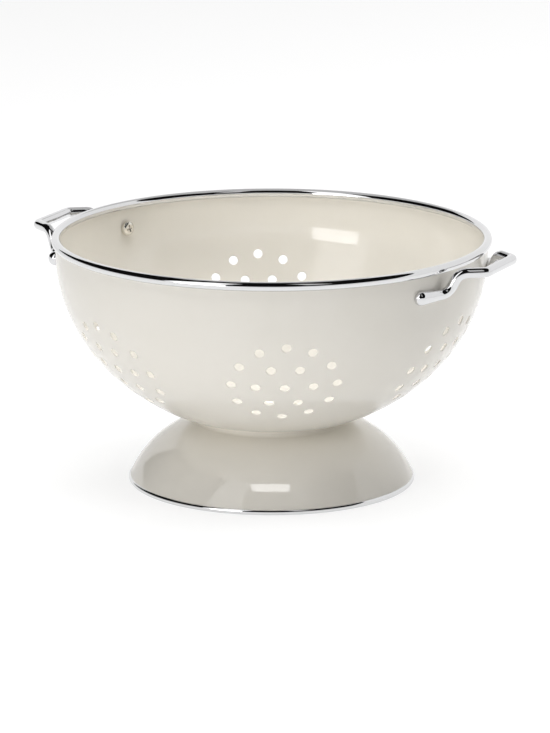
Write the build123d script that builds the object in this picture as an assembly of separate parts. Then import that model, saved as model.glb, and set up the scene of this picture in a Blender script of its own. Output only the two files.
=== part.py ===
from build123d import *
import os
from math import acos, asin, atan2, cos, degrees, hypot, pi, radians, sin, sqrt, tan

os.makedirs("parts", exist_ok=True)

# A footed colander. The bowl and its foot are pressed steel sheet, enamelled. A bright
# bead is rolled over the bowl's rim and another over the foot's edge. Two bright handles
# are held by screws that pass through the bowl's wall from inside.
# Millimetres. The origin is the middle of the foot's underside, +Z is up and +X runs
# through the middle of the handles.

# Whole object
rim_diameter = 280.0
overall_height = 160.5
foot_height = 45.0
foot_diameter = 183.5
cut_overrun = 5.0
seat_gap = 0.1

# Bowl
bowl_wall = 1.0
bowl_straight_height = 6.5
bowl_overdepth_share = 1.107
bowl_bottom_blend = 25.0
bowl_lip_rise = 1.0

# Holes of the bowl
hole_diameter = 6.0
inner_ring_radius = 18.0
outer_ring_radius = 33.0
inner_ring_count = 6
outer_ring_count = 12
cluster_count = 6
cluster_depth_share = 0.594
drain_margin = 2.5

# Foot
foot_wall = 1.0
collar_inset = 13.0
collar_height = 5.1
collar_blend = 1.5
flange_width = 7.5
dome_bulge = 6.8
skirt_height = 2.4

# Bright beads on the rim and the foot
rim_bead_diameter = 5.9
foot_bead_diameter = 4.0
bead_wall = 0.5
bead_gap = 0.1
foot_flat_depth = 0.2

# Handles
rod_diameter = 6.5
grip_length = 40.6
grip_reach = 17.8
grip_drop = 5.3
grip_bend = 4.5
arm_root_spread = 60.0
arm_rim_gap = 3.25
rise_bend = 9.0
pad_end_diameter = 9.3
pad_sink = 0.4
rod_sink = 0.35
pad_overhang = 6.0
pad_run = 22.0
pad_taper_share = 0.68
run_share = 0.48
end_run_share = 0.95

# Screws
screw_spacing = 92.5
screw_drop = 18.2
screw_diameter = 5.0
screw_gap = 0.1
screw_wall_gap = 0.25
screw_head_diameter = 9.5
screw_head_height = 3.4
screw_crown = 2.2
recess_length = 5.2
recess_width = 1.3
recess_depth = 2.0
pad_skin = 0.9
screw_tip_gap = 0.3

# Places that follow from the sizes above
rim_bead_radius = rim_bead_diameter / 2
rim_centre_radius = rim_diameter / 2 - rim_bead_radius
rim_centre_height = overall_height - rim_bead_radius
bowl_radius = rim_centre_radius + bowl_wall / 2
curve_top = rim_centre_height - bowl_straight_height
curve_depth = (curve_top - foot_height) * bowl_overdepth_share
flat_radius = bowl_radius * sqrt(1 - 1 / bowl_overdepth_share**2)
foot_bead_radius = foot_bead_diameter / 2
foot_centre_radius = foot_diameter / 2 - foot_bead_radius
foot_centre_height = foot_bead_radius - foot_flat_depth
collar_radius = flat_radius - collar_inset
flange_radius = collar_radius - flange_width
rod_radius = rod_diameter / 2
pad_end_radius = pad_end_diameter / 2
screw_height = overall_height - screw_drop


def bowl_form(inset, top):
    """The bowl's form, solid up to the given height and drawn in by the inset."""
    radius, depth, bottom = bowl_radius - inset, curve_depth - inset, foot_height + inset
    edge_angle = asin((curve_top - bottom) / depth)
    edge = radius * cos(edge_angle)
    turn = degrees(edge_angle)
    outline = (
        Polyline((0, top), (0, bottom), (edge, bottom))
        + EllipticalCenterArc((0, curve_top), radius, depth, -turn, arc_size=turn)
        + Polyline((radius, curve_top), (radius, top), (0, top))
    )
    # Turned from +Y, so that the form's seam runs between two clusters and clear of the pads.
    form = revolve(Plane.YZ * make_face(outline.edges()), axis=Axis.Z)
    rim_of_flat = form.edges().filter_by(GeomType.CIRCLE).group_by(Axis.Z)[0]
    return fillet(rim_of_flat, bowl_bottom_blend - inset)


def wall_radius(height):
    """The bowl's outer radius at a height on its curve."""
    return bowl_radius * sqrt(1 - ((height - curve_top) / curve_depth) ** 2)


def wall_normal(point):
    """The outward normal of the bowl's curve at a point on it."""
    return Vector(
        point.X / bowl_radius**2,
        point.Y / bowl_radius**2,
        (point.Z - curve_top) / curve_depth**2,
    ).normalized()


def on_wall(start, direction):
    """Where a line from a start near the bowl's curve meets that curve, going outward."""
    stretch = Vector(1 / bowl_radius, 1 / bowl_radius, 1 / curve_depth)
    offset_start = start - Vector(0, 0, curve_top)
    p = Vector(*[a * b for a, b in zip(offset_start, stretch)])
    d = Vector(*[a * b for a, b in zip(direction, stretch)])
    half_b, c = p.dot(d), p.dot(p) - 1
    way = (-half_b + sqrt(half_b**2 - d.dot(d) * c)) / d.dot(d)
    return start + direction * way


def cluster_spots(inner_radius, outer_radius):
    """A hole in the middle and two rings of holes about it, on a flat plane."""
    spots = [(0, 0)]
    for count, radius in ((inner_ring_count, inner_radius), (outer_ring_count, outer_radius)):
        turns = [2 * pi * k / count for k in range(count)]
        spots += [(radius * cos(turn), radius * sin(turn)) for turn in turns]
    return spots


def side_hole_planes():
    """A plane on the wall, facing outward, for each hole of the side clusters."""
    planes = []
    height = curve_top - (curve_top - foot_height) * cluster_depth_share
    for k in range(cluster_count):
        azimuth = 2 * pi * k / cluster_count
        radius = wall_radius(height)
        centre = Vector(radius * cos(azimuth), radius * sin(azimuth), height)
        across = Vector(-sin(azimuth), cos(azimuth), 0)
        face = Plane(centre, x_dir=across, z_dir=wall_normal(centre))
        for spot in cluster_spots(inner_ring_radius, outer_ring_radius):
            point = on_wall(face.from_local_coords(Vector(*spot, 0)), face.z_dir)
            planes.append(Plane(point, z_dir=wall_normal(point)))
    return planes


def drain_hole_planes():
    """A plane on the flat bottom, facing down, for each drain hole inside the foot."""
    outer = flange_radius - hole_diameter / 2 - drain_margin
    inner = outer * inner_ring_radius / outer_ring_radius
    return [Plane((x, y, foot_height), z_dir=(0, 0, -1)) for x, y in cluster_spots(inner, outer)]


def screw_plane(side, end):
    """The plane of a handle screw: on the outer wall, its normal pointing into the bowl."""
    radius = wall_radius(screw_height)
    half = end * screw_spacing / 2
    point = Vector(side * sqrt(radius**2 - half**2), half, screw_height)
    return Plane(point, z_dir=-wall_normal(point))


def make_bowl():
    """The enamelled bowl with its drain holes and the four holes for the screws."""
    top = rim_centre_height + bowl_lip_rise
    bowl = bowl_form(0, top) - bowl_form(bowl_wall, top + cut_overrun)
    punch = Cylinder(hole_diameter / 2, 2 * cut_overrun)
    cuts = [plane * punch for plane in side_hole_planes() + drain_hole_planes()]
    screw_punch = Cylinder(screw_diameter / 2 + screw_wall_gap, 2 * cut_overrun)
    cuts += [screw_plane(side, end) * screw_punch for side in (1, -1) for end in (1, -1)]
    return bowl - cuts


def make_bead(radius, height, section, slot_wall, slot_way):
    """A rolled bead: a split tube round the object, its slot open towards the sheet."""
    bead = Torus(radius, section) - Torus(radius, section - bead_wall)
    half_slot = slot_wall / 2 + bead_gap
    slot_height = section + cut_overrun
    slot = Cylinder(radius + half_slot, slot_height) - Cylinder(radius - half_slot, slot_height)
    bead -= Pos(0, 0, slot_way * slot_height / 2) * slot
    return Pos(0, 0, height) * bead


def make_foot():
    """The enamelled foot: a flange under the bowl, a collar, a dome and a short skirt."""
    skirt_radius = foot_centre_radius + foot_wall / 2
    shoulder = (collar_radius, foot_height - collar_height)
    skirt_top = (skirt_radius, foot_centre_height + skirt_height)
    outline = Wire(
        (
            Polyline((flange_radius, foot_height), (collar_radius, foot_height), shoulder)
            + SagittaArc(shoulder, skirt_top, dome_bulge)
            + Line(skirt_top, (skirt_radius, foot_centre_height))
        ).edges()
    )
    corners = [v for v in outline.vertices() if abs(v.X - collar_radius) < collar_blend / 2]
    outline = outline.fillet_2d(min(collar_blend, collar_height * run_share), corners)
    sheet = make_face(offset(outline, amount=foot_wall, side=Side.RIGHT).edges())
    return revolve(Plane.XZ * sheet, axis=Axis.Z)


def make_foot_bead():
    """The bead that the colander stands on, with a flat ring underneath."""
    bead = make_bead(foot_centre_radius, foot_centre_height, foot_bead_radius, foot_wall, 1)
    floor = Cylinder(foot_diameter, cut_overrun, align=(Align.CENTER, Align.CENTER, Align.MAX))
    return bead - floor


def around(radius, distance, from_radius, height, end):
    """A point at a radius, at a distance along the wall from the handle's middle line."""
    azimuth = end * distance / from_radius
    return Vector(radius * cos(azimuth), radius * sin(azimuth), height)


def handle_path_points(end):
    """The pad's end, the foot of the rise, its head and the grip's corner on one side."""
    wall = wall_radius(screw_height)
    screw_distance = wall * asin(screw_spacing / 2 / wall)
    pad_distance = screw_distance + pad_overhang
    rise_distance = pad_distance - pad_run
    head_radius = rim_diameter / 2 + arm_rim_gap + rod_radius
    head_y = arm_root_spread / 2
    grip_height = overall_height - grip_drop
    return [
        around(wall - pad_sink, pad_distance, wall, screw_height, end),
        around(wall + rod_radius - rod_sink, rise_distance, wall, screw_height, end),
        Vector(sqrt(head_radius**2 - head_y**2), end * head_y, grip_height),
        Vector(rim_diameter / 2 + grip_reach, end * grip_length / 2, grip_height),
    ]


def bend_radii(points, wanted):
    """Each bend's wanted radius, held to what the runs beside it have room for."""
    runs = [(b - a).length for a, b in zip(points, points[1:])]
    rooms = [run * run_share for run in runs]
    rooms[0], rooms[-1] = runs[0] * end_run_share, runs[-1] * end_run_share
    radii = []
    for k, radius in enumerate(wanted):
        turn = (points[k + 1] - points[k]).get_angle(points[k + 2] - points[k + 1])
        radii.append(min(radius, min(rooms[k], rooms[k + 1]) / tan(radians(turn / 2))))
    return radii


def make_pad(end_point, rod_start):
    """A handle's foot before it is fitted to the bowl: a ball that tapers to the rod."""
    way = rod_start - end_point
    touch = atan2(rod_radius, way.length) + acos(pad_end_radius / hypot(rod_radius, way.length))
    touch_point = (pad_end_radius * sin(touch), pad_end_radius * cos(touch))
    ball_side = (pad_end_radius, 0)
    outline = (
        ThreePointArc((0, -pad_end_radius), ball_side, touch_point)
        + Polyline(touch_point, (rod_radius, way.length), (0, way.length), (0, -pad_end_radius))
    )
    pad = revolve(Plane.XZ * make_face(outline.edges()), axis=Axis.Z)
    return Plane(end_point, z_dir=way) * pad


def screw_depth():
    """How far a screw's bore reaches into the pad, from the bowl's outer wall."""
    taper_length = pad_run * pad_taper_share
    narrowing = (pad_end_radius - rod_radius) * pad_overhang / taper_length
    return pad_end_radius - narrowing - pad_sink - pad_skin


def make_handle(side):
    """One bright handle: grip, arms, rises and two pads, bored for its screws."""
    left, right = handle_path_points(1), handle_path_points(-1)
    starts = [p[0] + (p[1] - p[0]) * pad_taper_share for p in (left, right)]
    points = [starts[0], *left[1:], *reversed(right[1:]), starts[1]]
    wanted = [rise_bend, rise_bend, grip_bend, grip_bend, rise_bend, rise_bend]
    path = FilletPolyline(*points, radius=bend_radii(points, wanted))
    rod = sweep(Plane(path @ 0, z_dir=path % 0) * Circle(rod_radius), path=path)
    handle = rod + make_pad(left[0], starts[0]) + make_pad(right[0], starts[1])
    handle -= bowl_form(-seat_gap, overall_height)
    for end in (1, -1):
        handle -= screw_plane(1, end) * Cylinder(screw_diameter / 2 + screw_gap, 2 * screw_depth())
    return handle if side > 0 else Rot(0, 0, 180) * handle


def make_screw(side, end):
    """A cross-recessed pan head screw, its head inside the bowl."""
    head_radius = screw_head_diameter / 2
    inner_radius = bowl_radius - bowl_wall
    hollow = inner_radius - sqrt(inner_radius**2 - head_radius**2)
    seat = bowl_wall + hollow + seat_gap / 2
    upward = (Align.CENTER, Align.CENTER, Align.MIN)
    head = Pos(0, 0, seat) * Cylinder(head_radius, screw_head_height, align=upward)
    head = fillet(head.edges().group_by(Axis.Z)[-1], screw_crown)
    tip = screw_depth() - screw_tip_gap
    shank = Pos(0, 0, -tip) * Cylinder(screw_diameter / 2, tip + seat, align=upward)
    recess_floor = seat + screw_head_height - recess_depth
    arm = Pos(0, 0, recess_floor) * Box(
        recess_length, recess_width, recess_depth + cut_overrun, align=upward
    )
    return screw_plane(side, end) * (head + shank - [arm, Rot(0, 0, 90) * arm])


def save(piece, name):
    """Writes one piece under its own name."""
    export_step(piece, f"parts/{name}.step")


save(make_bowl(), "bowl")
save(make_bead(rim_centre_radius, rim_centre_height, rim_bead_radius, bowl_wall, -1), "rim_bead")
save(make_foot(), "foot")
save(make_foot_bead(), "foot_bead")
for side, side_name in ((1, "right"), (-1, "left")):
    save(make_handle(side), f"handle_{side_name}")
    for end, end_name in ((side, "back"), (-side, "front")):
        save(make_screw(side, end), f"screw_{side_name}_{end_name}")
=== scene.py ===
# A footed colander: bowl and foot of cream enamelled steel, a bright bead rolled over the rim
# and one over the foot's edge, and two bright rod handles held by screws from inside.
# Lengths are in millimetres until a mesh is made. +X runs through the handles.
from math import acos, asin, atan2, cos, hypot, pi, radians, sin, sqrt, tan

import bmesh
import bpy
import numpy as np
from mathutils import Matrix, Vector, noise
from mathutils.geometry import delaunay_2d_cdt


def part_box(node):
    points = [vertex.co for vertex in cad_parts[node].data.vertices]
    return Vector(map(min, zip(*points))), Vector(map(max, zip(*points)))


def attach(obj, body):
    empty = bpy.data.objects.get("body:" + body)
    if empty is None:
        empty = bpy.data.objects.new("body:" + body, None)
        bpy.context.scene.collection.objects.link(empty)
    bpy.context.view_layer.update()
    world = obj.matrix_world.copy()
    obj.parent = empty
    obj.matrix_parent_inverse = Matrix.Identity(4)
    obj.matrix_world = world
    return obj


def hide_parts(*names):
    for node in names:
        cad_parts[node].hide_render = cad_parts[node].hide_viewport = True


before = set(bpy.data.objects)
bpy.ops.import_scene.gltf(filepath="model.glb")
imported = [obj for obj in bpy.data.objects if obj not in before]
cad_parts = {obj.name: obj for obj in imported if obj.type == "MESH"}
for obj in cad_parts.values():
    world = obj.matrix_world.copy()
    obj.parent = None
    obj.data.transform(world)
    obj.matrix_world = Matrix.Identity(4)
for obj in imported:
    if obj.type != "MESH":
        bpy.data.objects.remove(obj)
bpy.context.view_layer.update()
MM = 0.001
# How far the camera and the studio are turned round the object
VIEW_TURN = radians(26)


def cad_reach(node):
    """How far a CAD node reaches sideways from the middle, and how high."""
    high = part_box(node)[1] / MM
    return high.x, high.z


# Sizes read from the CAD
rim_radius, overall_height = cad_reach("rim_bead")
foot_radius = cad_reach("foot_bead")[0]
foot_height = cad_reach("foot")[1]

# Sizes that the CAD's boxes don't show
sheet_wall = 1.0
bowl_straight_height = 6.5
bowl_overdepth_share = 1.107
bowl_bottom_blend = 25.0
bowl_lip_rise = 1.0
hole_radius, hole_lip = 3.0, 0.8
screw_hole_radius, screw_hole_lip = 2.75, 0.3
inner_ring, outer_ring = 18.0, 33.0
cluster_depth_share = 0.594
rim_bead_radius, foot_bead_radius = 2.95, 2.0
bead_wall, bead_gap = 0.5, 0.1
foot_flat_depth = 0.2
rod_radius, pad_radius = 3.25, 4.65
pad_overhang, pad_taper_share = 6.0, 0.68
screw_drop, screw_spacing = 18.2, 92.5

# Places that follow from the sizes above
rim_centre = (rim_radius - rim_bead_radius, overall_height - rim_bead_radius)
foot_centre = (foot_radius - foot_bead_radius, foot_bead_radius - foot_flat_depth)
bowl_radius = rim_centre[0] + sheet_wall / 2
curve_top = rim_centre[1] - bowl_straight_height
curve_depth = (curve_top - foot_height) * bowl_overdepth_share
screw_height = overall_height - screw_drop


# ---------------------------------------------------------------- meshes


def make_piece(name, points, faces, normals, node, material):
    """A piece from points in millimetres. Its shading follows the normals, where it has them."""
    mesh = bpy.data.meshes.new(name)
    mesh.from_pydata([tuple(c * MM for c in p) for p in points], [], faces)
    mesh.shade_smooth()
    if normals is not None:
        mesh.normals_split_custom_set_from_vertices([tuple(n) for n in normals])
    piece = bpy.data.objects.new(name, mesh)
    bpy.context.scene.collection.objects.link(piece)
    piece.data.materials.append(material)
    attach(piece, "root")
    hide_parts(node)
    return piece


def arc_points(centre, radius, start, end, step):
    """Places and outward normals along an arc in the section, by angle."""
    count = max(2, round(abs(end - start) * radius / step) + 1)
    angles = np.linspace(start, end, count)
    return [
        (centre[0] + radius * cos(a), centre[1] + radius * sin(a), cos(a), sin(a)) for a in angles
    ]


def round_sheet(line, wall):
    """The closed section of a sheet whose face is a line of radius, height and normal.

    The sheet lies behind its face, and both its edges are rounded."""
    line = np.array(line, float)
    places, normals = line[:, :2], line[:, 2:]

    def rounded_edge(end, onward, across):
        """The half circle round the sheet's edge at one end of the line."""
        along = onward / np.hypot(*onward)
        middle = places[end] - wall / 2 * normals[end]
        outs = [across * cos(turn) + along * sin(turn) for turn in np.linspace(0, pi, 9)[1:-1]]
        return [(*(middle + wall / 2 * out), *out) for out in outs]

    face = [(*p, *n) for p, n in zip(places, normals)]
    back = [(*p, *n) for p, n in zip(places[::-1] - wall * normals[::-1], -normals[::-1])]
    last_edge = rounded_edge(-1, places[-1] - places[-2], normals[-1])
    first_edge = rounded_edge(0, places[0] - places[1], -normals[0])
    return face + last_edge + back + first_edge


def lathe(section, steps):
    """Points, faces and normals of a closed section turned round the Z axis."""
    section = np.array(section, float)
    turns = np.linspace(0, 2 * pi, steps, endpoint=False)
    c, s = np.cos(turns)[:, None], np.sin(turns)[:, None]
    r, z, nr, nz = section.T
    level = np.ones_like(c)
    points = np.stack([c * r, s * r, level * z], -1).reshape(-1, 3)
    normals = np.stack([c * nr, s * nr, level * nz], -1).reshape(-1, 3)
    count = len(section)
    faces = []
    for i in range(steps):
        here, there = i * count, (i + 1) % steps * count
        for j in range(count):
            k = (j + 1) % count
            faces.append((here + j, there + j, there + k, here + k))
    return points, outward(points, faces, normals), normals


def outward(points, faces, normals):
    """The same faces, each turned to the side that its corners' normals look to."""
    points, normals = np.array(points), np.array(normals)
    corners = np.array([face[:3] for face in faces])
    a, b, c = points[corners].transpose(1, 0, 2)
    agrees = (np.cross(b - a, c - a) * normals[corners].sum(1)).sum(1) >= 0
    return [tuple(face) if kept else tuple(reversed(face)) for face, kept in zip(faces, agrees)]


# ---------------------------------------------------------------- bowl


def bowl_line():
    """The outer line of the bowl, from the middle of its bottom up to its edge."""
    blend = bowl_bottom_blend

    def on_ellipse(t):
        normal = Vector((sin(t) / bowl_radius, -cos(t) / curve_depth)).normalized()
        return bowl_radius * sin(t), curve_top - curve_depth * cos(t), normal.x, normal.y

    # The blend has to touch the flat bottom and the curve. Halving finds where it leaves the curve.
    low, high = 0.2, 1.2
    for _ in range(50):
        middle = (low + high) / 2
        r, z, nr, nz = on_ellipse(middle)
        low, high = (middle, high) if z - blend * nz < foot_height + blend else (low, middle)
    centre = (r - blend * nr, foot_height + blend)
    line = [(x, foot_height, 0, -1) for x in np.linspace(0, centre[0], 130)[:-1]]
    line += arc_points(centre, blend, -pi / 2, atan2(nz, nr), step=0.25)[:-1]
    line += [on_ellipse(t) for t in np.linspace(middle, pi / 2, 700)]
    top = rim_centre[1] + bowl_lip_rise
    line += [(bowl_radius, z, 1, 0) for z in np.linspace(curve_top, top, 20)[1:]]
    return np.array(line)


outline = bowl_line()
reach = np.concatenate([[0], np.cumsum(np.hypot(*np.diff(outline[:, :2], axis=0).T))])


def on_bowl(way, turn, depth=0.0):
    """Points and normals of the bowl's wall, by the way up its outer line and the turn."""
    r, z, nr, nz = [np.interp(way, reach, column) for column in outline.T]
    size = np.hypot(nr, nz)
    nr, nz = nr / size, nz / size
    c, s = np.cos(turn), np.sin(turn)
    points = np.stack([(r - depth * nr) * c, (r - depth * nr) * s, z - depth * nz], -1)
    return points, np.stack([nr * c, nr * s, nz], -1)


def way_of(points):
    """The way up the bowl's line, and the turn, of points that lie near its wall."""
    r, z = np.hypot(points[:, 0], points[:, 1]), points[:, 2]
    apart = (r[:, None] - outline[None, :, 0]) ** 2 + (z[:, None] - outline[None, :, 1]) ** 2
    near = apart.argmin(1)
    along = np.stack([-outline[near, 3], outline[near, 2]], -1)
    rest = (r - outline[near, 0]) * along[:, 0] + (z - outline[near, 1]) * along[:, 1]
    return np.clip(reach[near] + rest, 0, reach[-1]), np.arctan2(points[:, 1], points[:, 0])


def wall_radius(height):
    """The bowl's outer radius at a height on its curve."""
    return bowl_radius * sqrt(1 - ((height - curve_top) / curve_depth) ** 2)


def wall_normal(point):
    """The outward normal of the bowl's curve at a point on it."""
    flat, upright = bowl_radius**2, curve_depth**2
    return Vector((point[0] / flat, point[1] / flat, (point[2] - curve_top) / upright)).normalized()


def on_wall(start, direction):
    """Where a line from near the bowl's curve meets that curve, going outward."""
    stretch = Vector((1 / bowl_radius, 1 / bowl_radius, 1 / curve_depth))
    p = (start - Vector((0, 0, curve_top))) * stretch
    d = direction * stretch
    half_b, c = p.dot(d), p.dot(p) - 1
    return start + direction * ((-half_b + sqrt(half_b**2 - d.dot(d) * c)) / d.dot(d))


def cluster_spots():
    """A hole in the middle and two rings of holes about it, on a flat plane."""
    spots = [(0.0, 0.0)]
    for count, radius in ((6, inner_ring), (12, outer_ring)):
        turns = [2 * pi * k / count for k in range(count)]
        spots += [(radius * cos(turn), radius * sin(turn)) for turn in turns]
    return spots


def screw_spots():
    """The four places on the outer wall that the handle screws pass through."""
    half = screw_spacing / 2
    x = sqrt(wall_radius(screw_height) ** 2 - half**2)
    return {
        f"screw_{side_name}_{end_name}": Vector((side * x, end * half, screw_height))
        for side, side_name in ((1, "right"), (-1, "left"))
        for end, end_name in ((side, "back"), (-side, "front"))
    }


def bowl_holes():
    """Every hole: its middle on the outer wall, its normal, its radius and its rounded lip."""
    holes = []
    height = curve_top - (curve_top - foot_height) * cluster_depth_share
    for k in range(6):
        turn = pi / 3 * k
        centre = Vector((wall_radius(height) * cos(turn), wall_radius(height) * sin(turn), height))
        normal = wall_normal(centre)
        across = Vector((-sin(turn), cos(turn), 0))
        upward = normal.cross(across)
        for x, y in cluster_spots():
            point = on_wall(centre + across * x + upward * y, normal)
            holes.append((point, wall_normal(point), hole_radius, hole_lip))
    for x, y in cluster_spots():
        holes.append((Vector((x, y, foot_height)), Vector((0, 0, -1)), hole_radius, hole_lip))
    for point in screw_spots().values():
        holes.append((point, wall_normal(point), screw_hole_radius, screw_hole_lip))
    return holes


def hole_ring(hole, radius, count):
    """Points of the bowl's wall round a hole."""
    point, normal = hole[:2]
    across = Vector((0, 0, 1)).cross(normal)
    across = across.normalized() if across.length > 1e-6 else Vector((1, 0, 0))
    upward = normal.cross(across)
    turns = np.linspace(0, 2 * pi, count, endpoint=False)
    ring = [point + (across * cos(t) + upward * sin(t)) * radius for t in turns]
    return way_of(np.array(ring))


def bowl_net(holes, ring_count):
    """The way and turn of every point of the wall's net, its faces, and how many end at the top.

    Each hole has a ring at the edge of its lip and a second one round that, which come first.
    Rows of points fill the rest of the wall, and keep clear of the rings."""
    spacing, second_ring, clear = 4.0, 1.7, 1.9
    ways, turns, edges = [], [], []
    for k, hole in enumerate(holes):
        for extra in (0.0, second_ring):
            way, turn = hole_ring(hole, hole[2] + hole[3] + extra, ring_count)
            ways.append(way)
            turns.append(turn)
        first = 2 * ring_count * k
        edges += [(first + j, first + (j + 1) % ring_count) for j in range(ring_count)]
    centres = np.array([hole[0] for hole in holes])
    rows = round(reach[-1] / spacing)
    for row in range(1, rows + 1):
        way = reach[-1] * row / rows
        count = max(6, round(2 * pi * np.interp(way, reach, outline[:, 0]) / spacing))
        turn = (np.arange(count) + row % 2 / 2) * 2 * pi / count
        points = on_bowl(np.full(count, way), turn)[0]
        gaps = np.linalg.norm(points[:, None] - centres[None], axis=-1).min(1)
        keep = gaps > hole_radius + hole_lip + second_ring + clear
        ways.append(np.full(keep.sum(), way))
        turns.append(turn[keep])
    top_count = len(ways[-1])
    way, turn = np.concatenate(ways), np.concatenate(turns)
    flat = [Vector(p) for p in np.stack([way * np.cos(turn), way * np.sin(turn)], -1).tolist()]
    net = delaunay_2d_cdt(flat, edges, [], 1, 1e-5, True)
    source = [ids[0] for ids in net[3]]
    faces = [[source[i] for i in face] for face in net[2]]
    # Faces whose corners are all on one hole's first ring would close that hole.
    owner = np.full(len(flat), -1)
    for k in range(len(holes)):
        owner[2 * ring_count * k : 2 * ring_count * k + ring_count] = k
    faces = [f for f in faces if owner[f[0]] < 0 or len({owner[i] for i in f}) > 1]
    return way, turn, faces, top_count


def make_bowl(material):
    """The bowl: two skins of one net that leaves the holes open, and lips that join them."""
    ring_count, lip_rows, edge_lip = 28, 9, 0.1
    holes = bowl_holes()
    way, turn, net_faces, top_count = bowl_net(holes, ring_count)
    outer, outer_normals = on_bowl(way, turn)
    inner, _ = on_bowl(way, turn, sheet_wall)
    points, normals = [*outer, *inner], [*outer_normals, *-outer_normals]
    size = len(outer)
    faces = [tuple(reversed(f)) for f in net_faces]
    faces += [tuple(i + size for i in f) for f in net_faces]

    def join(ring, aways, lip):
        """Rows of a rounded edge, from a ring of the outer skin to the same ring of the inner."""
        before = ring
        for turn_over in np.linspace(0, pi, lip_rows)[1:-1]:
            row = []
            for i, away in zip(ring, aways):
                normal = outer_normals[i]
                place = outer[i] - sheet_wall / 2 * (1 - cos(turn_over)) * normal
                row.append(len(points))
                points.append(place + away * lip * sin(turn_over))
                slope = normal * cos(turn_over) * lip + away * sin(turn_over) * sheet_wall / 2
                normals.append(slope / np.linalg.norm(slope))
            weave(before, row)
            before = row
        weave(before, [i + size for i in ring])

    def weave(lower, upper):
        """Faces between two closed rows of points."""
        for i in range(len(lower)):
            j = (i + 1) % len(lower)
            faces.append((lower[i], lower[j], upper[j], upper[i]))

    for k, (point, normal, radius, lip) in enumerate(holes):
        ring = [2 * ring_count * k + j for j in range(ring_count)]
        aways = []
        for i in ring:
            away = np.array(point) - outer[i]
            away -= outer_normals[i] * away.dot(outer_normals[i])
            aways.append(away / np.linalg.norm(away))
        join(ring, aways, lip)
    join(list(range(size - top_count, size)), [np.array((0, 0, 1.0))] * top_count, edge_lip)
    faces = outward(points, faces, normals)
    return make_piece("bowl_shell", points, faces, normals, "bowl", material)


# ---------------------------------------------------------------- foot and beads


def make_foot(material):
    """The foot: a flange under the bowl, a collar, a domed wall and a short skirt."""
    flange_inner, flange_outer = 38.5, 42.0
    collar, collar_height, collar_blend, neck_blend = 46.0, 5.1, 1.5, 4.5
    bulge, skirt_height, bead_cover = 6.8, 2.4, 1.2
    shoulder_height = foot_height - collar_height
    skirt, skirt_top = foot_centre[0] + sheet_wall / 2, foot_centre[1] + skirt_height
    # The dome is an arc over the chord from the collar to the skirt.
    chord = Vector((skirt - collar, skirt_top - shoulder_height))
    dome_radius = (chord.length**2 / 4 + bulge**2) / (2 * bulge)
    side = Vector((-chord.y, chord.x)).normalized()
    middle = Vector((collar, shoulder_height)) + chord / 2
    centre = middle - side * (dome_radius - bulge)
    # The neck is a hollow arc that touches the collar and the dome.
    neck = Vector((collar + neck_blend, 0))
    neck.y = centre.y + sqrt((dome_radius + neck_blend) ** 2 - (neck.x - centre.x) ** 2)
    touch = neck - centre
    start, end = atan2(touch.y, touch.x), atan2(skirt_top - centre.y, skirt - centre.x)
    line = [(flange_inner, foot_height, 0, 1), (flange_outer, foot_height, 0, 1)]
    fold = (collar - collar_blend, foot_height - collar_blend)
    line += arc_points(fold, collar_blend, pi / 2, 0, step=0.2)
    line += [
        (x, z, -nx, -nz)
        for x, z, nx, nz in arc_points(neck, neck_blend, -pi, start - pi, step=0.2)
    ]
    # The dome's last rows lie close, so that its shading turns to the skirt's in a narrow band.
    corner_normal = (0.977, 0.213)
    line += arc_points(centre, dome_radius, start, end - 0.05, step=1.0)[1:]
    line += arc_points(centre, dome_radius, end - 0.04, end, step=0.5)[:-1]
    line += [(skirt, skirt_top, *corner_normal), (skirt, foot_centre[1] + bead_cover, 1, 0)]
    line += [(skirt, foot_centre[1] + sheet_wall / 2, 1, 0)]
    points, faces, normals = lathe(round_sheet(line, sheet_wall), 288)
    return make_piece("foot_shell", points, faces, normals, "foot", material)


def make_bead(name, centre, radius, slot_way, node, material):
    """A bead of thin bright sheet, rolled almost shut round the edge of the enamelled sheet."""
    half_slot = sheet_wall / 2 + bead_gap
    gap = asin((half_slot + bead_wall / 2) / (radius - bead_wall / 2))
    start = slot_way * pi / 2 + gap
    line = arc_points(centre, radius, start, start + 2 * (pi - gap), step=0.16)
    section = []
    for r, z, nr, nz in round_sheet(line, bead_wall):
        on_floor = z < 0
        section.append((r, max(z, 0.0), 0 if on_floor else nr, -1 if on_floor else nz))
    points, faces, normals = lathe(section, 512)
    return make_piece(name, points, faces, normals, node, material)


# ---------------------------------------------------------------- handles


def around(radius, distance, from_radius, height, end):
    """A point at a radius, at a distance along the wall from the handle's middle line."""
    turn = end * distance / from_radius
    return Vector((radius * cos(turn), radius * sin(turn), height))


def handle_points(end):
    """The pad's end, the foot of the rise, its head and the grip's corner on one side."""
    pad_lift, pad_run, rise_gap = 0.8, 21.0, 1.3
    arm_rim_gap, arm_root_half = 3.25, 30.0
    grip_reach, grip_half, grip_drop = 17.8, 20.3, 5.3
    wall = wall_radius(screw_height)
    pad_distance = wall * asin(screw_spacing / 2 / wall) + pad_overhang
    head_radius = rim_radius + arm_rim_gap + rod_radius
    grip_height = overall_height - grip_drop
    return [
        around(wall + pad_lift, pad_distance, wall, screw_height, end),
        around(wall + rod_radius + rise_gap, pad_distance - pad_run, wall, screw_height, end),
        Vector((sqrt(head_radius**2 - arm_root_half**2), end * arm_root_half, grip_height)),
        Vector((rim_radius + grip_reach, end * grip_half, grip_height)),
    ]


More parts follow.
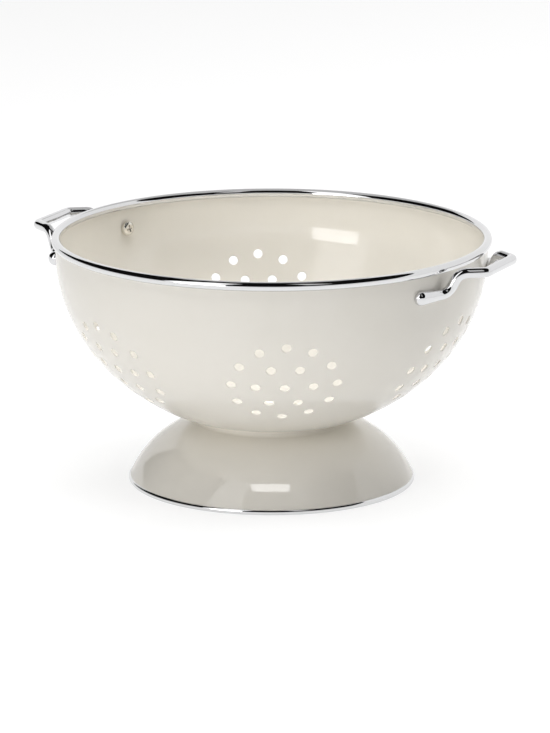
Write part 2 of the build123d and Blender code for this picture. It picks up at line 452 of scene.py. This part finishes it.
def bent_path(points, radii, step):
    """Points along straight runs that are joined by bends, at most a step apart."""
    path = [points[0]]

    def run_to(place):
        start = path[-1]
        count = max(1, round((place - start).length / step))
        path.extend(start.lerp(place, k / count) for k in range(1, count + 1))

    for before, corner, after, radius in zip(points, points[1:], points[2:], radii):
        inward, onward = (corner - before).normalized(), (after - corner).normalized()
        turn = inward.angle(onward)
        start = corner - inward * radius * tan(turn / 2)
        side = (onward - inward * inward.dot(onward)).normalized()
        run_to(start)
        count = max(4, round(turn * radius / step))
        for k in range(1, count + 1):
            a = turn * k / count
            path.append(start + inward * radius * sin(a) + side * radius * (1 - cos(a)))
    run_to(points[-1])
    return path


def pad_thickness(distance, taper):
    """The radius of a handle's end at a distance from the middle of its ball."""
    touch = atan2(rod_radius, taper) + acos(pad_radius / hypot(rod_radius, taper))
    leave = pad_radius * cos(touch)
    if distance <= leave:
        return sqrt(max(pad_radius**2 - distance**2, 0.0))
    start = pad_radius * sin(touch)
    return start + (rod_radius - start) * min((distance - leave) / (taper - leave), 1.0)


def ripple(place):
    """The slight unevenness of a rod that was bent and swaged by a press."""
    share, length = 0.004, 7.0
    return share * noise.noise(place / length)


def seat_on_wall(point, seat):
    """The point itself, or where the bowl's wall pushes it out to."""
    r, height = hypot(point.x, point.y), point.z
    near = ((r - outline[:, 0]) ** 2 + (height - outline[:, 1]) ** 2).argmin()
    line_r, line_height, out, up = outline[near]
    sunk = seat - (r - line_r) * out - (height - line_height) * up
    if sunk <= 0:
        return point
    return Vector(
        (point.x * (1 + sunk * out / r), point.y * (1 + sunk * out / r), height + sunk * up)
    )


def across_rod(places):
    """Two directions across the rod at each of its places, carried along it without a twist."""
    pairs, forward, up = [], None, Vector((0, 0, 1))
    for k in range(len(places)):
        ahead = places[min(k + 1, len(places) - 1)] - places[max(k - 1, 0)]
        ahead.normalize()
        if forward is not None:
            up = forward.rotation_difference(ahead) @ up
        forward = ahead
        up = (up - ahead * up.dot(ahead)).normalized()
        pairs.append((up, up.cross(ahead)))
    return pairs


def make_handle(name, side, node, material):
    """A bright rod, bent to a grip, whose two ends swell to pads that lie against the bowl."""
    sides, seat = 56, 0.1
    rise_bend, grip_bend = 9.0, 4.5
    left, right = handle_points(1), handle_points(-1)
    taper = (left[1] - left[0]).length * pad_taper_share
    start, finish = [p[0] - (p[1] - p[0]).normalized() * pad_radius for p in (left, right)]
    corners = [start, *left[1:], *reversed(right[1:]), finish]
    bends = [rise_bend, rise_bend, grip_bend, grip_bend, rise_bend, rise_bend]
    path = bent_path(corners, bends, step=1.0)
    ways = np.concatenate([[0], np.cumsum([(b - a).length for a, b in zip(path, path[1:])])])
    whole = ways[-1]
    # The ball's ends are drawn with rows that close up where its outline turns fastest.
    fine = pad_radius * (1 - np.cos(np.linspace(0.12, pi / 2, 12)[:-1]))
    between = [w for w in ways if pad_radius < w < whole - pad_radius]
    rows = sorted({*fine, *(whole - fine), *between})
    spine = np.array(path)
    places = [Vector([np.interp(w, ways, column) for column in spine.T]) for w in rows]
    points = []
    for way, place, (up, out) in zip(rows, places, across_rod(places)):
        radius = pad_thickness(min(way, whole - way) - pad_radius, taper)
        for j in range(sides):
            turn = 2 * pi * j / sides
            aside = up * cos(turn) + out * sin(turn)
            points.append(place + aside * radius * (1 + ripple(place + aside * radius)))
    points = [seat_on_wall(p, seat) for p in (*points, start, finish)]
    if side < 0:
        points = [Vector((-p.x, -p.y, p.z)) for p in points]
    faces = []
    for k in range(len(rows) - 1):
        for j in range(sides):
            i = (j + 1) % sides
            here, there = k * sides, (k + 1) * sides
            faces.append((here + j, here + i, there + i, there + j))
    last = (len(rows) - 1) * sides
    faces += [(len(points) - 2, (j + 1) % sides, j) for j in range(sides)]
    faces += [(len(points) - 1, last + j, last + (j + 1) % sides) for j in range(sides)]
    handle = make_piece(name, points, faces, None, node, material)
    handle.data.set_sharp_from_angle(angle=radians(40))
    return handle


# ---------------------------------------------------------------- screws


def closed_mesh(name, solid):
    """The mesh of a closed form, with its faces turned outward."""
    bmesh.ops.recalc_face_normals(solid, faces=solid.faces)
    mesh = bpy.data.meshes.new(name)
    solid.to_mesh(mesh)
    solid.free()
    return mesh


def screw_mesh():
    """A pan head screw with no recess yet, its axis along Z and its head upward, and its top."""
    head, crown, head_height, shank = 4.75, 2.2, 3.4, 2.5
    shank_chamfer, head_edge, under_head = 0.5, 0.15, 0.05
    # The shank ends inside the pad, short of the metal that closes its bore.
    pad_run, pad_sink, pad_skin, tip_gap = 22.0, 0.4, 0.9, 0.3
    inner = bowl_radius - sheet_wall
    seat = sheet_wall + inner - sqrt(inner**2 - head**2) + under_head
    taper = pad_run * pad_taper_share
    pad_here = pad_radius - (pad_radius - rod_radius) * pad_overhang / taper
    tip = pad_here - pad_sink - pad_skin - tip_gap
    top = seat + head_height
    line = [(0.0, -tip), (shank - shank_chamfer, -tip), (shank, -tip + shank_chamfer)]
    line += [(shank, seat), (head - head_edge, seat), (head, seat + head_edge)]
    line += [p[:2] for p in arc_points((head - crown, top - crown), crown, 0, pi / 2, step=0.15)]
    line += [(0.0, top)]
    solid = bmesh.new()
    count = 64
    turns = [2 * pi * k / count for k in range(count)]
    columns = []
    for r, z in line:
        corners = [(r * cos(t), r * sin(t), z) for t in turns] if r else [(0, 0, z)]
        columns.append([solid.verts.new(corner) for corner in corners])
    for lower, upper in zip(columns, columns[1:]):
        for k in range(count):
            n = (k + 1) % count
            ring = [lower[i % len(lower)] for i in (k, n)] + [upper[i % len(upper)] for i in (n, k)]
            solid.faces.new(list(dict.fromkeys(ring)))
    return closed_mesh("screw_blank", solid), top


def cross_tool(top):
    """The punch that leaves a cross recess, its four wings tapering towards the floor."""
    tool = bmesh.new()
    length, width, depth, above = 2.6, 0.65, 2.0, 1.0
    levels = []
    for z, share in ((top - depth, 0.55), (top + above, 1.18)):
        reach_out, half = length * share, width * (0.6 + 0.4 * share)
        corners = []
        for k in range(4):
            spin = Matrix.Rotation(pi / 2 * k, 3, "Z")
            for x, y in ((half, half), (half, reach_out), (-half, reach_out)):
                corners.append(tool.verts.new(spin @ Vector((x, y, z))))
        levels.append(corners)
    low, high = levels
    count = len(low)
    for k in range(count):
        n = (k + 1) % count
        tool.faces.new((low[k], low[n], high[n], high[k]))
    tool.faces.new(low[::-1])
    tool.faces.new(high)
    return closed_mesh("cross_punch", tool)


def punched_screw():
    """The screw's mesh with its recess cut and its edges softened."""
    blank_mesh, top = screw_mesh()
    blank = bpy.data.objects.new("screw_blank", blank_mesh)
    punch = bpy.data.objects.new("cross_punch", cross_tool(top))
    for tool in (blank, punch):
        bpy.context.scene.collection.objects.link(tool)
    cut = blank.modifiers.new("recess", "BOOLEAN")
    cut.operation = "DIFFERENCE"
    cut.solver = "EXACT"
    cut.object = punch
    soften = blank.modifiers.new("worn edges", "BEVEL")
    soften.width = 0.12
    soften.segments = 2
    soften.angle_limit = radians(50)
    bpy.context.view_layer.update()
    seen = blank.evaluated_get(bpy.context.evaluated_depsgraph_get())
    shaped = bpy.data.meshes.new_from_object(seen)
    for tool in (blank, punch):
        bpy.data.objects.remove(tool)
    return shaped


def make_screws(material):
    """Four screws of one form, each set square to the bowl's wall with its head inside."""
    shaped = punched_screw()
    spins = {
        "screw_right_back": 20,
        "screw_right_front": 65,
        "screw_left_back": 40,
        "screw_left_front": 12,
    }
    for node, point in screw_spots().items():
        normal = -wall_normal(point)
        across = Vector((0, 0, 1)).cross(normal).normalized()
        axes = Matrix((across, normal.cross(across), normal)).transposed()
        place = axes @ Matrix.Rotation(radians(spins[node]), 3, "Z")
        points = [place @ v.co + point for v in shaped.vertices]
        faces = [tuple(f.vertices) for f in shaped.polygons]
        name = f"{node}_fastener"
        screw = make_piece(name, points, faces, None, node, material)
        screw.data.set_sharp_from_angle(angle=radians(32))


# ---------------------------------------------------------------- materials


def linear(code):
    """An sRGB hex colour in linear values."""
    levels = [int(code[k : k + 2], 16) / 255 for k in (1, 3, 5)]
    return (*[v / 12.92 if v <= 0.04045 else ((v + 0.055) / 1.055) ** 2.4 for v in levels], 1.0)


def add(tree, kind, inputs=None, **settings):
    """Adds a node with its settings. An input takes a value or another node's output."""
    node = tree.nodes.new(kind)
    for key, value in settings.items():
        setattr(node, key, value)
    for key, value in (inputs or {}).items():
        if isinstance(value, bpy.types.NodeSocket):
            tree.links.new(value, node.inputs[key])
        else:
            node.inputs[key].default_value = value
    return node


def new_material(name):
    """An empty material, its tree and its output node."""
    material = bpy.data.materials.new(name)
    material.use_nodes = True
    tree = material.node_tree
    tree.nodes.clear()
    return material, tree, add(tree, "ShaderNodeOutputMaterial")


def per_metre(size):
    """The scale that draws a pattern with features of that size in millimetres."""
    return 1 / (size * MM)


def cream_enamel():
    """Vitreous enamel, fired on steel: a wet gloss, faint orange peel and a cloudy cream."""
    material, tree, out = new_material("cream_vitreous_enamel")
    place = add(tree, "ShaderNodeTexCoord").outputs["Object"]
    cloud = add(
        tree,
        "ShaderNodeTexNoise",
        {"Vector": place, "Scale": per_metre(38), "Detail": 3.0, "Roughness": 0.5},
    )
    colour = add(
        tree,
        "ShaderNodeMix",
        {"Factor": cloud.outputs["Fac"], 6: linear("#EDE9DF"), 7: linear("#F2EEE6")},
        data_type="RGBA",
    )
    peel = add(
        tree, "ShaderNodeTexNoise", {"Vector": place, "Scale": per_metre(3.2), "Detail": 1.0}
    )
    bump = add(
        tree,
        "ShaderNodeBump",
        {"Height": peel.outputs["Fac"], "Strength": 0.25, "Distance": 0.02 * MM},
    )
    gloss = add(
        tree, "ShaderNodeTexNoise", {"Vector": place, "Scale": per_metre(14), "Detail": 2.0}
    )
    rough = add(
        tree,
        "ShaderNodeMapRange",
        {"Value": gloss.outputs["Fac"], "To Min": 0.04, "To Max": 0.07},
    )
    shader = add(
        tree,
        "ShaderNodeBsdfPrincipled",
        {
            "Base Color": colour.outputs[2],
            "Roughness": rough.outputs["Result"],
            "IOR": 1.5,
            "Normal": bump.outputs["Normal"],
        },
    )
    tree.links.new(shader.outputs["BSDF"], out.inputs["Surface"])
    return material


def bright_metal(name, colour, relief, relief_strength, relief_depth, haze, roughness):
    """A bright metal, uneven in relief and gloss. Each pattern is its size in mm and its detail."""
    material, tree, out = new_material(name)
    place = add(tree, "ShaderNodeTexCoord").outputs["Object"]
    patterns = []
    for size, detail in (relief, haze):
        pattern = add(
            tree,
            "ShaderNodeTexNoise",
            {"Vector": place, "Scale": per_metre(size), "Detail": detail},
        )
        patterns.append(pattern.outputs["Fac"])
    bump = add(
        tree,
        "ShaderNodeBump",
        {"Height": patterns[0], "Strength": relief_strength, "Distance": relief_depth * MM},
    )
    rough = add(
        tree,
        "ShaderNodeMapRange",
        {"Value": patterns[1], "To Min": roughness[0], "To Max": roughness[1]},
    )
    shader = add(
        tree,
        "ShaderNodeBsdfPrincipled",
        {
            "Base Color": linear(colour),
            "Metallic": 1.0,
            "Roughness": rough.outputs["Result"],
            "Normal": bump.outputs["Normal"],
        },
    )
    tree.links.new(shader.outputs["BSDF"], out.inputs["Surface"])
    return material


def bright_chrome():
    """Chrome plate on rolled and bent steel: mirror bright, its reflections a little uneven."""
    return bright_metal(
        "bright_chrome_plate",
        "#DBDBDC",
        relief=(9, 2.0),
        relief_strength=0.15,
        relief_depth=0.05,
        haze=(22, 2.0),
        roughness=(0.03, 0.07),
    )


def plated_steel():
    """Nickel-plated screw steel: bright but softer than the chrome, with fine marks of forming.

    The marks are drawn coarser than real ones, so that they show."""
    return bright_metal(
        "nickel_plated_steel",
        "#E4E0D8",
        relief=(0.8, 3.0),
        relief_strength=0.2,
        relief_depth=0.03,
        haze=(0.8, 3.0),
        roughness=(0.16, 0.3),
    )


def white_floor():
    """A matt white sweep. The camera and reflections see it near white, with its soft shadow."""
    material, tree, out = new_material("matt_white_sweep")
    path = add(tree, "ShaderNodeLightPath")
    seen = add(
        tree,
        "ShaderNodeMath",
        {0: path.outputs["Is Camera Ray"], 1: path.outputs["Is Glossy Ray"]},
        operation="MAXIMUM",
    )
    bare = add(tree, "ShaderNodeBsdfDiffuse", {"Color": linear("#E8E8E8")})
    paper = add(tree, "ShaderNodeBsdfDiffuse", {"Color": linear("#9C9C9C")})
    lift = add(tree, "ShaderNodeEmission", {"Color": linear("#FFFFFF"), "Strength": 0.75})
    lifted = add(
        tree, "ShaderNodeAddShader", {0: paper.outputs["BSDF"], 1: lift.outputs["Emission"]}
    )
    surface = add(
        tree,
        "ShaderNodeMixShader",
        {0: seen.outputs["Value"], 1: bare.outputs["BSDF"], 2: lifted.outputs["Shader"]},
    )
    tree.links.new(surface.outputs["Shader"], out.inputs["Surface"])
    return material


# ---------------------------------------------------------------- studio


def panel(tree, azimuth, elevation, azimuths, elevations):
    """1 inside a panel that spans the given azimuths and elevations in degrees, and 0 outside."""
    spans = []
    for angle, (low, high) in ((azimuth, azimuths), (elevation, elevations)):
        middle, half = radians(low + high) / 2, radians(high - low) / 2
        span = add(tree, "ShaderNodeMath", {0: angle, 1: middle, 2: half}, operation="COMPARE")
        spans.append(span.outputs[0])
    both = add(tree, "ShaderNodeMath", {0: spans[0], 1: spans[1]}, operation="MULTIPLY")
    return both.outputs[0]


def studio_world():
    """A white studio whose ceiling is dark on the camera's side, with lit gaps in it."""
    ceiling_low, front_edge, left_edge, left_back_edge = sin(radians(11)), -0.6, -0.15, -1.6
    right_slope, right_start = 1.72, 1.35
    wall_edge, wall_low = -0.55, sin(radians(8))
    dark_level, bounce_level = 0.004, 0.05
    lit_panels = (((-57, -27), (9, 68), 1.5), ((20, 36), (38, 75), 0.66))

    world = bpy.data.worlds.new("white_studio")
    bpy.context.scene.world = world
    world.use_nodes = True
    tree = world.node_tree
    tree.nodes.clear()
    out = add(tree, "ShaderNodeOutputWorld")

    way = add(tree, "ShaderNodeTexCoord").outputs["Generated"]
    turned = add(
        tree,
        "ShaderNodeVectorRotate",
        {"Vector": way, "Angle": -VIEW_TURN},
        rotation_type="Z_AXIS",
    )
    axes = add(tree, "ShaderNodeSeparateXYZ", {"Vector": turned.outputs[0]}).outputs
    known = {"x": axes["X"], "y": axes["Y"], "z": axes["Z"]}
    # Each step is what it is called, how it is worked out, and the values that it takes. The
    # ceiling is told by where a ray meets a level plane: how far across, and how far along. The
    # left wall is dark too, down to a little above the table.
    for result, operation, *values in (
        ("toward", "MULTIPLY", "y", -1.0),
        ("azimuth", "ARCTAN2", "x", "toward"),
        ("elevation", "ARCSINE", "z"),
        ("across", "DIVIDE", "x", "z"),
        ("along", "DIVIDE", "toward", "z"),
        ("above", "GREATER_THAN", "z", ceiling_low),
        ("front", "GREATER_THAN", "along", front_edge),
        ("left", "LESS_THAN", "across", left_edge),
        ("left_back", "GREATER_THAN", "along", left_back_edge),
        ("corner", "MULTIPLY", "left", "left_back"),
        ("either", "MAXIMUM", "front", "corner"),
        ("right_edge", "MULTIPLY_ADD", "along", right_slope, right_start),
        ("inside_right", "LESS_THAN", "across", "right_edge"),
        ("dark", "MULTIPLY", "either", "inside_right"),
        ("over", "MULTIPLY", "dark", "above"),
        ("wall", "LESS_THAN", "x", wall_edge),
        ("high", "GREATER_THAN", "z", wall_low),
        ("left_wall", "MULTIPLY", "wall", "high"),
        ("ceiling", "MAXIMUM", "over", "left_wall"),
    ):
        inputs = {k: known.get(value, value) for k, value in enumerate(values)}
        known[result] = add(tree, "ShaderNodeMath", inputs, operation=operation).outputs[0]
    lit = add(
        tree,
        "ShaderNodeMix",
        {"Factor": known["ceiling"], "A": 1.0, "B": dark_level},
        data_type="FLOAT",
    ).outputs[0]
    for azimuths, elevations, level in lit_panels:
        inside = panel(tree, known["azimuth"], known["elevation"], azimuths, elevations)
        lit = add(
            tree,
            "ShaderNodeMix",
            {"Factor": inside, "A": lit, "B": level},
            data_type="FLOAT",
        ).outputs[0]
    path = add(tree, "ShaderNodeLightPath")
    mirrored = add(
        tree,
        "ShaderNodeMix",
        {"Factor": path.outputs["Is Glossy Ray"], "A": 1.0, "B": lit},
        data_type="FLOAT",
    ).outputs[0]
    level = add(
        tree,
        "ShaderNodeMix",
        {"Factor": path.outputs["Is Diffuse Ray"], "A": mirrored, "B": bounce_level},
        data_type="FLOAT",
    ).outputs[0]
    back = add(tree, "ShaderNodeBackground", {"Color": linear("#FFFFFF"), "Strength": level})
    tree.links.new(back.outputs["Background"], out.inputs["Surface"])


def in_studio(x, y, z):
    """A place given across, away from and above the camera's middle line, in the row frame."""
    return Matrix.Rotation(VIEW_TURN, 3, "Z") @ Vector((x, y, z)) * MM


def soft_lamp(name, middle, aim, width, height, radiance, mirrored=False):
    """A square lamp with even brightness, turned to face a place. Only some show in the gloss."""
    light = bpy.data.lights.new(name, "AREA")
    light.shape = "RECTANGLE"
    light.size, light.size_y = width * MM, height * MM
    light.energy = radiance * pi * light.size * light.size_y
    lamp = bpy.data.objects.new(name, light)
    bpy.context.scene.collection.objects.link(lamp)
    lamp.location = in_studio(*middle)
    lamp.rotation_euler = (in_studio(*aim) - lamp.location).to_track_quat("-Z", "Y").to_euler()
    lamp.visible_camera = False
    lamp.visible_glossy = mirrored
    return lamp


def light_only(lamp, piece):
    """Lets a lamp light one piece alone."""
    lit = bpy.data.collections.new(lamp.name)
    lit.objects.link(piece)
    lamp.light_linking.receiver_collection = lit


def flat_sheet(name, corners, material):
    """A flat sheet of the studio with four corners, in metres."""
    mesh = bpy.data.meshes.new(name)
    mesh.from_pydata(corners, [], [(0, 1, 2, 3)])
    mesh.materials.append(material)
    sheet = bpy.data.objects.new(name, mesh)
    bpy.context.scene.collection.objects.link(sheet)
    return sheet


def hang_scrim():
    """A grey cloth close above the bowl, behind its middle, that shows in the chrome alone."""
    left, right, near, far, height = -140, 115, 25, 600, 489
    material, tree, out = new_material("grey_scrim")
    glow = add(tree, "ShaderNodeEmission", {"Color": linear("#FFFFFF"), "Strength": 0.6})
    tree.links.new(glow.outputs["Emission"], out.inputs["Surface"])
    corners = ((left, near), (right, near), (right, far), (left, far))
    scrim = flat_sheet("scrim", [in_studio(x, y, height) for x, y in corners], material)
    for ray in ("camera", "diffuse", "shadow", "transmission", "volume_scatter"):
        setattr(scrim, f"visible_{ray}", False)


def make_floor(material):
    """A large pale floor under the foot."""
    half = 12.0
    corners = ((-half, -half, 0), (half, -half, 0), (half, half, 0), (-half, half, 0))
    floor = flat_sheet("floor", corners, material)


def make_camera():
    """The photograph's long lens, from above and to the left of the right handle's front."""
    lens = bpy.data.cameras.new("photo_lens")
    lens.sensor_width, lens.lens = 36.0, 251.58
    lens.clip_end = 100
    camera = bpy.data.objects.new("photo_camera", lens)
    bpy.context.scene.collection.objects.link(camera)
    camera.location = in_studio(2.1256, -3175.35, 865.65)
    camera.rotation_euler = (radians(90 - 14.0096), 0, VIEW_TURN)
    bpy.context.scene.camera = camera


enamel, chrome, steel = cream_enamel(), bright_chrome(), plated_steel()
make_bowl(enamel)
foot = make_foot(enamel)
make_bead("rim_roll", rim_centre, rim_bead_radius, -1, "rim_bead", chrome)
make_bead("foot_roll", foot_centre, foot_bead_radius, 1, "foot_bead", chrome)
make_handle("right_grip", 1, "handle_right", chrome)
make_handle("left_grip", -1, "handle_left", chrome)
make_screws(steel)

studio_world()
make_floor(white_floor())
# A lamp is given by its name, its middle, the place that it faces, its width, its height and its
# radiance. The window shows in the gloss, and the five after it light without being seen.
window_at = (-1735, -2344, 649)
soft_lamp("front_left_window", window_at, (43, 128, 133), 1400, 514, 5.6, mirrored=True)
for name, middle, width, height, radiance in (
    ("front_left_key", (-1735, -2344, 900), 1400, 1100, 3.8),
    ("overhead_softbox", (0, 0, 2000), 1650, 1650, 4.5),
    ("right_fill", (2300, -400, 950), 1200, 1200, 1.15),
    ("low_front_fill", (0, -2600, 350), 1600, 500, 0.9),
    ("back_right_rim_light", (1800, 1800, 900), 1200, 1200, 4.2),
):
    soft_lamp(name, middle, (0, 0, 80), width, height, radiance)
# The window that the foot's gloss shows
above_foot = (-20, -880, 1292)
foot_window = soft_lamp("foot_window", above_foot, (0, -88, 20), 690, 260, 7.5, mirrored=True)
foot_window.visible_diffuse = False
light_only(foot_window, foot)
# A little light in the foot's hollow, which the bowl's low holes look into past the drain holes
light_only(soft_lamp("hollow_lamp", (0, 0, 4), (0, 0, 40), 120, 120, 2.2), foot)
hang_scrim()
make_camera()
bpy.context.scene.view_settings.view_transform = "Standard"
